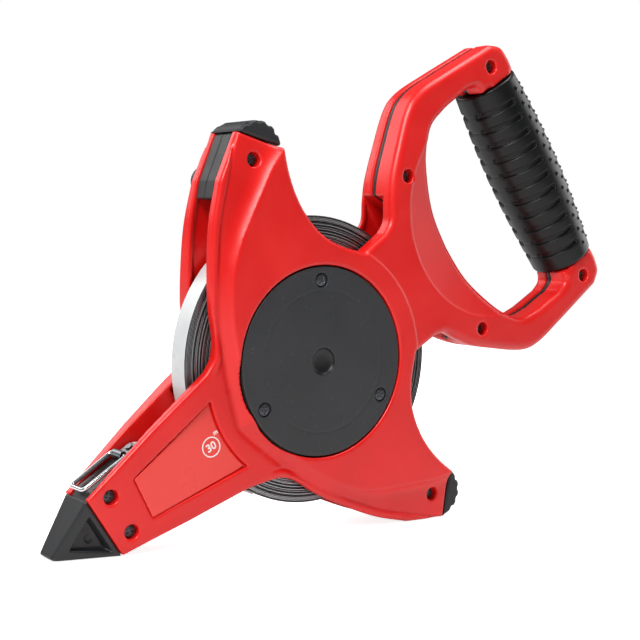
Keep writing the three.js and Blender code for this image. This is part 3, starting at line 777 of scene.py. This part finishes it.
def nose_wedge(u, v, h):
    """Blunt wedge with a three-cornered pocket in each side."""
    side = [(NOSE_BACK, 20.4)] + smooth([(-158.5, 9.2), (-161.8, 7.2), (-161, 5.7),
                                         (-158.2, floor_line(-158.2))]) + [
        (NOSE_BACK, floor_line(NOSE_BACK))]
    half = 7 + (NOSE_FACE - 7.1) * (u + 162) / 27
    outer = flat_distance(side, u, v)
    wedge = both(np.maximum(outer, u - NOSE_BACK), np.abs(h) - half, 1.4)
    pocket = flat_distance([(-138.4, 12.6), (-153.6, 5.6), (-138.4, -6.4)], u, v)
    slope = 0.35 * (np.abs(h) - 6.4)
    wedge = cut(wedge, both(pocket - slope + 0.8, 6.4 - np.abs(h), 0.6), 0.5)
    pin = np.maximum(ring_distance(u, v, 1.8, (-142.5, 3.5)), 5.9 - np.abs(h))
    return cut(wedge, pin, 0.2)


def nose_tongue(u, v, h):
    """Part between the frame halves, curled over at the end that the tape runs on."""
    top = [(-136, 18.4), (-130, CURL[1] + CURL[2])] + arc(*CURL, 90, -28, 20)
    under = smooth([(-96.5, -4), (-101, -13), (-108, -18)]) + [(-136, -11.6)]
    return both(flat_distance(top + under, u, v), np.abs(h) - GAP + FIT, 0.8)


def nose():
    u, v, h, place = grid((-163, -22, -12), (-91, 23, 12), 0.5)
    body = join(nose_wedge(u, v, h), nose_tongue(u, v, h), 0.3)
    for screw in SCREWS[6:]:
        body = cut(body, ring_distance(u, v, 5.7, screw))
    add_field("nose_wedge", body, place, node="nose_block", material=BLACK)


# ---- drum, caps and tape -----------------------------------------------------
def cap_screw_places():
    return [polar(CAP_SCREW_RADIUS, angle) for angle in CAP_SCREW_ANGLES]


def cap(is_front):
    """Winding disc: the front one has a bowl in its middle, the rear one a square hole."""
    step = 0.5
    u, v, h, place = grid((-48, -48, 14), (48, 48, 18.5), (step, step, 0.3))
    reach = np.hypot(u, v)
    face = CAP_FACE - CAP_RING_DEPTH * np.exp(-((reach - 0.75 * CAP_RADIUS) / 0.5) ** 2)
    body = both(reach - CAP_RADIUS, slab(h, CAP_FACE - CAP_THICK, face), 0.6)
    for screw in cap_screw_places():
        seat = np.maximum(ring_distance(u, v, 3.7, screw), CAP_FACE - 1.5 - h)
        body = cut(body, seat, 0.3)
        body = cut(body, ring_distance(u, v, 1.7, screw))
    if is_front:
        down = np.abs(h - CAP_FACE) / BOWL_DEPTH
        bowl = BOWL_DEPTH * (((reach / BOWL_RADIUS) ** 2.5 + down ** 2.5) ** 0.4 - 1)
        body = cut(body, bowl, 0.25)
    else:
        along, across = crank_axes(u, v)
        body = cut(body, np.maximum(np.abs(along), np.abs(across)) - 7.4)
    name = "front_disc" if is_front else "rear_disc"
    piece = add_field(name, body, place, mirror=not is_front, body="reel", material=DISC,
                      node="front_cap" if is_front else "rear_cap")
    if is_front:
        paint_bowl_shade(piece)


def paint_bowl_shade(piece):
    """The bowl in the middle of the disc gets painted shade: a near-black, slightly less rough
    copy of the disc's plastic.
    """
    piece.data.materials.append(DISC_BOWL_SHADE)
    for face in piece.data.polygons:
        away = (face.center - HUB) / MM
        if math.hypot(away.x, away.z) < BOWL_RADIUS and -away.y < CAP_FACE - 0.25:
            face.material_index = 1


def screw_field(head, shaft, length):
    """Cross-slotted pan head with its face at h = 0, pointing to negative h."""
    u, v, h, place = grid((-head, -head, -length), (head, head, 0), (0.16, 0.16, 0.2))
    reach = np.hypot(u, v)
    dome = h + 0.06 * reach ** 2
    top = both(reach - head, np.maximum(dome, -1.1 - h), 0.35)
    arm = np.minimum(np.maximum(np.abs(u) - 0.5, np.abs(v) - 2.0),
                     np.maximum(np.abs(v) - 0.5, np.abs(u) - 2.0))
    recess = np.maximum(arm, -0.98 - h + 0.2 * reach)
    body = cut(top, recess, 0.08)
    return join(body, np.maximum(reach - shaft, slab(h, -length, -0.6))), place


def add_screws():
    """Three screws in each disc, and eight that hold the frame halves together."""
    points, faces = net(*screw_field(3.1, 1.35, 5.0))
    turns = (20, 55, 5)
    for side, word in ((1, "front"), (-1, "rear")):
        for i, (su, sv) in enumerate(cap_screw_places()):
            placed = moved(points, su, sv, CAP_FACE - 0.2, turns[i], side)
            add_mesh(f"{word}_disc_screw_{i + 1}", placed, faces, body="reel",
                     node=f"{word}_cap_screw_{i + 1}", material=SCREW, flip=side > 0)
    points, faces = net(*screw_field(3.2, 1.6, 17.5))
    for i, (su, sv) in enumerate(SCREWS):
        placed = moved(points, su, sv, head_face(su), 37 * i, 1)
        add_mesh(f"shell_screw_{i + 1}", placed, faces, node=f"frame_screw_{i + 1}",
                 material=SCREW, flip=True)


def moved(points, u, v, h, turn, side):
    """Screw points turned about h, then placed on the front (1) or rear (-1) side."""
    c, s = math.cos(math.radians(turn)), math.sin(math.radians(turn))
    x, y, z = points.T
    return np.stack([u + x * c - y * s, v + x * s + y * c, side * (h + z)], 1)


def coil():
    """Wound tape: every turn's edge stands a little higher or lower than the next."""
    random = np.random.default_rng(7)
    pitch = (COIL_RADIUS - SEAT_RADIUS) / TURNS
    profile = [[], []]
    for side in (0, 1):
        lift = random.normal(0, 0.16, TURNS)
        wave = 0.25 * np.sin(np.arange(TURNS) * 0.37 + side)
        for i in range(TURNS):
            low = SEAT_RADIUS + i * pitch
            edge = COIL_HALF - 0.4 + min(0.38, lift[i] + wave[i])
            profile[side] += [(low + 0.02, edge - 0.3), (low + 0.05, edge),
                              (low + pitch - 0.05, edge)]
    closed = profile[0] + [(r, -h) for r, h in reversed(profile[1])]
    piece = add_turned("wound_tape", closed, segments=256, node="tape_coil", body="reel",
                       material=TAPE, flip=True, flat=True)
    paint_coil_shade_and_highlights(piece, len(closed), random)


def paint_coil_shade_and_highlights(piece, count, random):
    """Faces on the outer turn stay pale; the turns' edges get painted shade, and some of them a
    painted highlight.
    """
    for material in (TAPE_EDGE_SHADE, TAPE_EDGE_HIGHLIGHT):
        piece.data.materials.append(material)
    # Every few turns the edge takes the painted highlight; the others take the painted shade.
    bright = (np.arange(count) + random.integers(0, 4, count)) % 9 < 3
    outer = (count // 2 - 1, count - 1)
    per_strip = np.array([0 if j in outer else (2 if bright[j] else 1) for j in range(count)])
    slots = np.tile(per_strip, len(piece.data.polygons) // count)
    piece.data.polygons.foreach_set("material_index", slots)
    piece.data.update()


def tape_lead():
    """Free end of the tape, over the curled end of the nose block to the clip."""
    on = CURL[2] + 0.35 + TAPE_THICK / 2
    off = COIL_RADIUS + 0.4 + TAPE_THICK / 2
    lean = math.atan2(CURL[1], CURL[0]) - math.acos(-(off + on) / math.hypot(*CURL[:2]))
    start = (-off * math.cos(lean), -off * math.sin(lean))
    path = [start] + arc(CURL[0], CURL[1], on, math.degrees(lean), 90, 30)
    path += [(RING_BAR_U + 2.6, CURL[1] + on)]
    strip(path, TAPE_THICK, 6.5)


def strip(path, thick, half):
    """Flat band along the path, `half` wide to each side."""
    path = np.array(path)
    along = np.gradient(path, axis=0)
    along /= np.linalg.norm(along, axis=1)[:, None]
    side = np.stack([-along[:, 1], along[:, 0]], 1)
    corners = [(half, -0.5), (half, 0.5), (-half, 0.5), (-half, -0.5)]
    points = [(*(p + n * thick * t), h) for p, n in zip(path, side) for h, t in corners]
    faces = [(0, 1, 2, 3)]
    for i in range(len(path) - 1):
        for j in range(4):
            k = (j + 1) % 4
            faces.append((4 * i + j, 4 * i + 4 + j, 4 * i + 4 + k, 4 * i + k))
    last = 4 * (len(path) - 1)
    faces.append((last + 3, last + 2, last + 1, last))
    add_mesh("free_tape", points, faces, node="tape_lead", material=TAPE, flat=True)


# ---- end ring and its clip ---------------------------------------------------
def end_ring():
    """Four-sided wire loop, a little narrower at its tip."""
    half_bar, half_tip, bend = 7.4, 6.6, 2.2
    corners = [(RING_BAR_U, -half_bar), (RING_BAR_U, half_bar), (RING_TIP_U, half_tip),
               (RING_TIP_U, -half_tip)]
    path = [(u, RAIL_V, h) for u, h in rounded(corners, bend, 12)]
    add_tube("wire_loop", path, WIRE, node="end_ring", body="ring", material=CHROME)


def end_clip():
    """Sleeve rolled round the ring's bar, with a tail riveted to the tape."""
    tape_top = CURL[1] + CURL[2] + 0.85
    u, v, h, place = grid((-110, 20.5, -5), (-98, 26, 5), 0.18)
    sleeve = both(ring_distance(u, v, 2.1, (RING_BAR_U, RAIL_V)), np.abs(h) - 4.4, 0.3)
    tail = both(np.maximum(slab(u, RING_BAR_U, -98.6), np.abs(h) - 4.4),
                slab(v, tape_top + 0.3, tape_top + 1.1), 0.25)
    body = join(sleeve, tail, 0.3)
    body = cut(body, ring_distance(u, v, 1.45, (RING_BAR_U, RAIL_V)))
    seam = np.maximum(np.abs(v - tape_top - 1.35) - 0.12, RING_BAR_U - u)
    body = cut(body, seam)
    from_rivet = np.hypot(u - RIVET_U, h)
    body = cut(body, from_rivet - 1.3)
    add_field("ring_clip", body, place, node="end_clip", material=CLIP)
    head = both(from_rivet - 2.0, slab(v, tape_top + 1.4, tape_top + 2.1), 0.35)
    stem = np.maximum(from_rivet - 1.0, slab(v, tape_top - 0.4, tape_top + 1.5))
    add_field("clip_rivet_head", join(head, stem), place, node="clip_rivet", material=CLIP)


# ---- crank -------------------------------------------------------------------
def crank_axes(u, v):
    """Distances along the crank from the hub, and across it."""
    c, s = math.cos(CRANK_ANGLE), math.sin(CRANK_ANGLE)
    return u * c + v * s, -u * s + v * c


def crank_bar(u, v, h, knob_at):
    """Tapered bar with a groove inside its edge and a square peg that fits the disc."""
    along, across = crank_axes(u, v)
    share = np.clip(along / CRANK_RADIUS, 0, 1)
    plan = np.hypot(along - share * CRANK_RADIUS, across) - (15 - 6 * share)
    body = both(plan, slab(h, CRANK_LOW, CRANK_TOP), 1.3)
    body = cut(body, np.maximum(np.abs(plan + 4.2) - 0.7, CRANK_TOP - 0.7 - h), 0.3)
    square = np.maximum(np.abs(along), np.abs(across)) - 7
    body = join(body, np.maximum(square, slab(h, 15.1, 21)))
    body = cut(body, ring_distance(u, v, 2.4))
    body = cut(body, np.maximum(ring_distance(u, v, 5.4), 23 - h), 0.3)
    body = cut(body, ring_distance(u, v, 2.9, knob_at))
    return cut(body, np.maximum(ring_distance(u, v, 4.5, knob_at), h - 21.8))


def crank():
    knob_at = (CRANK_RADIUS * math.cos(CRANK_ANGLE), CRANK_RADIUS * math.sin(CRANK_ANGLE))
    u, v, h, place = grid((-18, -18, 14.8), (42, 98, 27), 0.6)
    add_field("crank_bar", crank_bar(u, v, h, knob_at), place, mirror=True, body="reel",
              node="crank_arm", material=DISC)
    crank_screw()
    knob(knob_at)


def crank_screw():
    points, faces = net(*screw_field(4.8, 2.0, 21.0))
    placed = moved(points, 0, 0, CRANK_TOP, 30, -1)
    add_mesh("crank_bolt", placed, faces, node="crank_screw", body="reel", material=SCREW)


def knob(centre):
    """Turned knob, loose on a pin that is riveted into the crank."""
    end = KNOB_END
    shell = rounded([(2.9, 26.5), (7.2, 26.5), (8.2, 28.5), (8.4, 34), (9.1, 42), (9.4, 47),
                     (9.2, 54), (8.4, 58.5), (7, end), (5.2, end), (5.2, end - 3.4),
                     (2.9, end - 3.4)], 0.8)
    add_turned("spinning_knob", [(r, -h) for r, h in shell], centre, 96, node="crank_knob",
               body="knob", material=KNOB_LOOK)
    pin = rounded([(0.01, 20.2), (4.1, 20.2), (4.1, 21.4), (2.5, 21.4), (2.5, end - 3),
                   (4.6, end - 3), (4.6, end - 1.4), (3.4, end - 0.6), (0.01, end - 0.6)], 0.3)
    add_turned("riveted_pin", [(r, -h) for r, h in pin], centre, 64, node="knob_pin",
               body="reel", material=CHROME)


# ---- label -------------------------------------------------------------------
def label_panel(is_front):
    """Film in the label's recess, printed with the tape's length in a ring."""
    word, side = ("front", 1) if is_front else ("rear", -1)
    u, v, h, place = grid((-116, -16, 11.6), (-50, 24, 12.8), (0.5, 0.5, 0.25))
    body = both(flat_distance(LABEL, u, v) + 0.5, slab(h, LABEL_FLOOR + 0.3, LABEL_TOP), 0.3)
    add_field(f"{word}_panel", body, place, mirror=not is_front, node=f"{word}_label",
              material=PANEL)
    low, high = LABEL_TOP - 0.2, LABEL_TOP + 0.08
    circle = rounded([(4.4, low), (5.0, low), (5.0, high), (4.4, high)], 0.05)
    add_turned(f"{word}_print_ring", [(r, side * t) for r, t in circle], MARK, 96,
               material=PRINT, flip=side > 0)
    print_text(f"{word}_print_number", "30", 4.4, (0, 0), side)
    print_text(f"{word}_print_unit", "m", 2.6, (5.6, 4.6), side)


def print_text(name, text, size, offset, side):
    """Thin raised print beside the middle of the mark, along the nose arm."""
    mesh = text_mesh(name, text, size)
    lean = math.radians(-5)
    for vertex in mesh.vertices:
        x, y, z = vertex.co
        x, y = (x * math.cos(lean) - y * math.sin(lean), x * math.sin(lean) + y * math.cos(lean))
        point = (MARK[0] + side * (x + offset[0]), MARK[1] + y + offset[1],
                 side * (LABEL_TOP + z))
        vertex.co = to_world([point])[0]
    finish_piece(name, mesh, None, "frame", PRINT)


def text_mesh(name, text, size):
    curve = bpy.data.curves.new(name, "FONT")
    curve.body = text
    curve.size = size * 1.25
    curve.extrude = 0.05
    curve.align_x = curve.align_y = "CENTER"
    curve.offset = 0.12
    shape = bpy.data.objects.new(name + "_shape", curve)
    bpy.context.scene.collection.objects.link(shape)
    bpy.context.view_layer.update()
    mesh = bpy.data.meshes.new_from_object(shape)
    bpy.data.objects.remove(shape)
    return mesh


# ---- studio ------------------------------------------------------------------
def studio():
    """White paper that the camera sees bright, a dim room, and four soft lamps."""
    sky = bpy.data.worlds.new("studio")
    bpy.context.scene.world = sky
    sky.use_nodes = True
    tree = sky.node_tree
    back = tree.nodes["Background"]
    back.inputs["Color"].default_value = (1, 1, 1, 1)
    tree.links.new(seen_only(tree, 0.17, 1.0), back.inputs["Strength"])
    paper_floor()
    lamp("key", (-0.75, -0.40, 0.90), 0.40, 12.5)
    lamp("fill", (1.10, -0.06, 0.36), 0.8, 4)
    lamp("top", (0.25, -0.12, 1.1), 0.45, 6)
    lamp("rim", (-0.4, 0.9, 0.7), 0.7, 4)
    bpy.context.scene.view_settings.view_transform = "Standard"


def seen_only(tree, hidden, seen):
    """A strength that is `seen` for the camera and `hidden` for everything it lights."""
    value = tree.nodes.new("ShaderNodeMapRange")
    value.inputs["To Min"].default_value = hidden
    value.inputs["To Max"].default_value = seen
    ray = tree.nodes.new("ShaderNodeLightPath")
    tree.links.new(ray.outputs["Is Camera Ray"], value.inputs["Value"])
    return value.outputs["Result"]


def paper_floor():
    """Wide round sheet of white paper just under the reel."""
    angles = np.linspace(0, 2 * math.pi, 65)[:-1]
    mesh = bpy.data.meshes.new("floor")
    mesh.from_pydata([(6 * math.cos(a), 6 * math.sin(a), -0.0004) for a in angles], [],
                     [tuple(range(64))])
    floor = bpy.data.objects.new("floor", mesh)
    bpy.context.scene.collection.objects.link(floor)
    paper = Look("paper", 0.95)
    paper.colour(paper.mix(paper.noise(3), srgb("f4f4f4"), srgb("f8f8f8")))
    paper.shader.inputs["Emission Color"].default_value = (1, 1, 1, 1)
    glow = seen_only(paper.material.node_tree, 0.0, 0.86)
    paper.links.new(glow, paper.shader.inputs["Emission Strength"])
    mesh.materials.append(paper.material)


def lamp(name, place, size, watts):
    """Square soft lamp that faces the reel."""
    light = bpy.data.lights.new(name, "AREA")
    light.size = size
    light.energy = watts
    holder = bpy.data.objects.new(name, light)
    holder.location = place
    holder.rotation_mode = "QUATERNION"
    aim = Vector((0, 0, 0.12)) - Vector(place)
    holder.rotation_quaternion = aim.to_track_quat("-Z", "Y")
    bpy.context.scene.collection.objects.link(holder)


def camera():
    """Three-quarter view from the nose side, a little above the hub."""
    azimuth, elevation, roll = (math.radians(a) for a in (-35.08, 3.66, 1.59))
    back = Vector((math.sin(azimuth) * math.cos(elevation),
                   -math.cos(azimuth) * math.cos(elevation), math.sin(elevation)))
    right = Vector((math.cos(azimuth), math.sin(azimuth), 0))
    up = back.cross(right)
    across = math.cos(roll) * right + math.sin(roll) * up
    upward = -math.sin(roll) * right + math.cos(roll) * up
    lens = bpy.data.cameras.new("view")
    lens.sensor_width = 36
    lens.lens = 75.66
    holder = bpy.data.objects.new("view", lens)
    hub_front = HUB - Vector((0, HUB_FACE * MM, 0))
    place = hub_front + MM * (-2.176 * across + 20.62 * upward + 662.9 * back)
    turn = Matrix((across, upward, back)).transposed()
    holder.matrix_world = Matrix.Translation(place) @ turn.to_4x4()
    bpy.context.scene.collection.objects.link(holder)
    bpy.context.scene.camera = holder


def keep_hidden_parts():
    """The drum is deep inside; it keeps its CAD shape and gets the moulded black."""
    mesh = frame["nodes"]["drum"].data
    mesh.materials.clear()
    mesh.materials.append(BLACK[0])


build_frame()
handle_core()
grip_sleeve()
foot("top_foot", "top_bumper", 1)
foot("lower_foot", "lower_bumper", -1)
nose()
cap(True)
cap(False)
add_screws()
coil()
tape_lead()
end_ring()
end_clip()
crank()
label_panel(True)
label_panel(False)
keep_hidden_parts()
studio()
camera()
